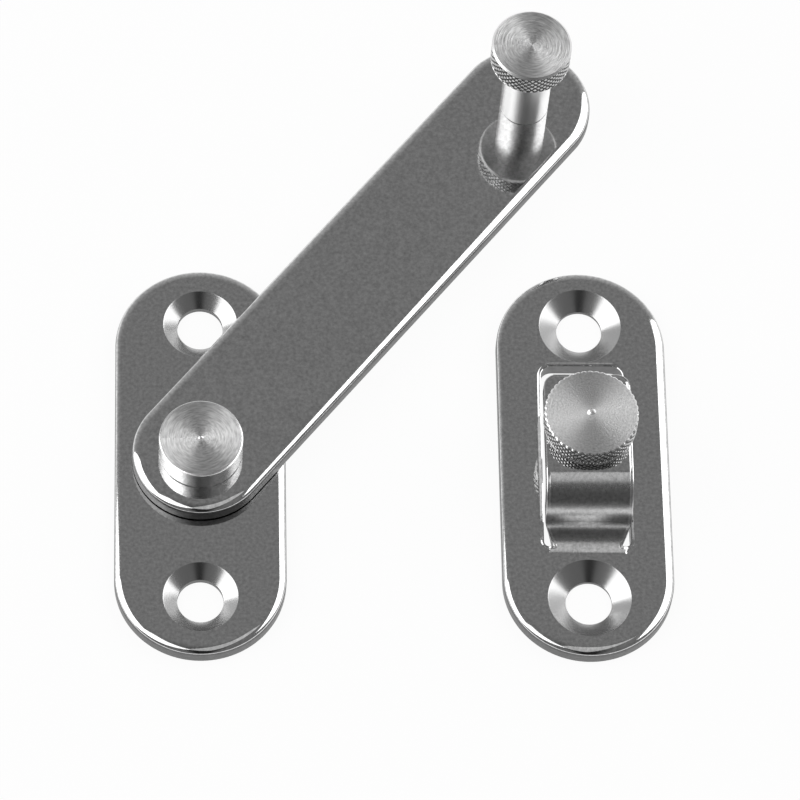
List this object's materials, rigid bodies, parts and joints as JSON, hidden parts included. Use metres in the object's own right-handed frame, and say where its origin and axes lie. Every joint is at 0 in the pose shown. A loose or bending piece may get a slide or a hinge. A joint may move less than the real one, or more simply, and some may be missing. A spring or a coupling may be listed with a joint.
{
  "type": "swivel door bolt",
  "caption": "Flat arm with a knurled knob that swings on a countersunk base plate into the raised tongue of a keeper plate, where a clamp screw holds it.",
  "frame": {"origin": "pivot axis at the back face of the base plate, midway between its two screw holes", "axes": "+Z away from the door, along the pivot; +Y along both plates, up the picture; +X from the base plate to the keeper"},
  "size_m": [0.0651, 0.0798, 0.0183],
  "materials": {
    "satin_plate": "stainless sheet, fine satin flats, polished rounded edges and countersinks",
    "satin_arm": "stainless sheet, smooth satin flat that mirrors what stands on it, polished edges",
    "turned_steel": "turned stainless bar with concentric tool marks",
    "knurled_steel": "turned stainless bar, diamond knurl on the rim of the head",
    "washer_steel": "plain thin stainless shim"
  },
  "bodies": {
    "root": {"base_plate": "satin_plate", "pivot_stud": "turned_steel", "pivot_washer": "washer_steel", "keeper_plate": "satin_plate"},
    "arm": {"swing_arm": "satin_arm", "arm_knob": "knurled_steel"},
    "clamp": {"clamp_screw": "knurled_steel"}
  },
  "joints": [
    {"name": "arm_pivot", "type": "hinge", "parent": "root", "child": "arm", "pos_m": [0, 0, 0], "axis": [0, 0, 1], "range_deg": [-47.5, 283]},
    {"name": "clamp_lift", "type": "slide", "parent": "root", "child": "clamp", "axis": [0, 0, 1], "range_m": [0, 0.002]}
  ]
}
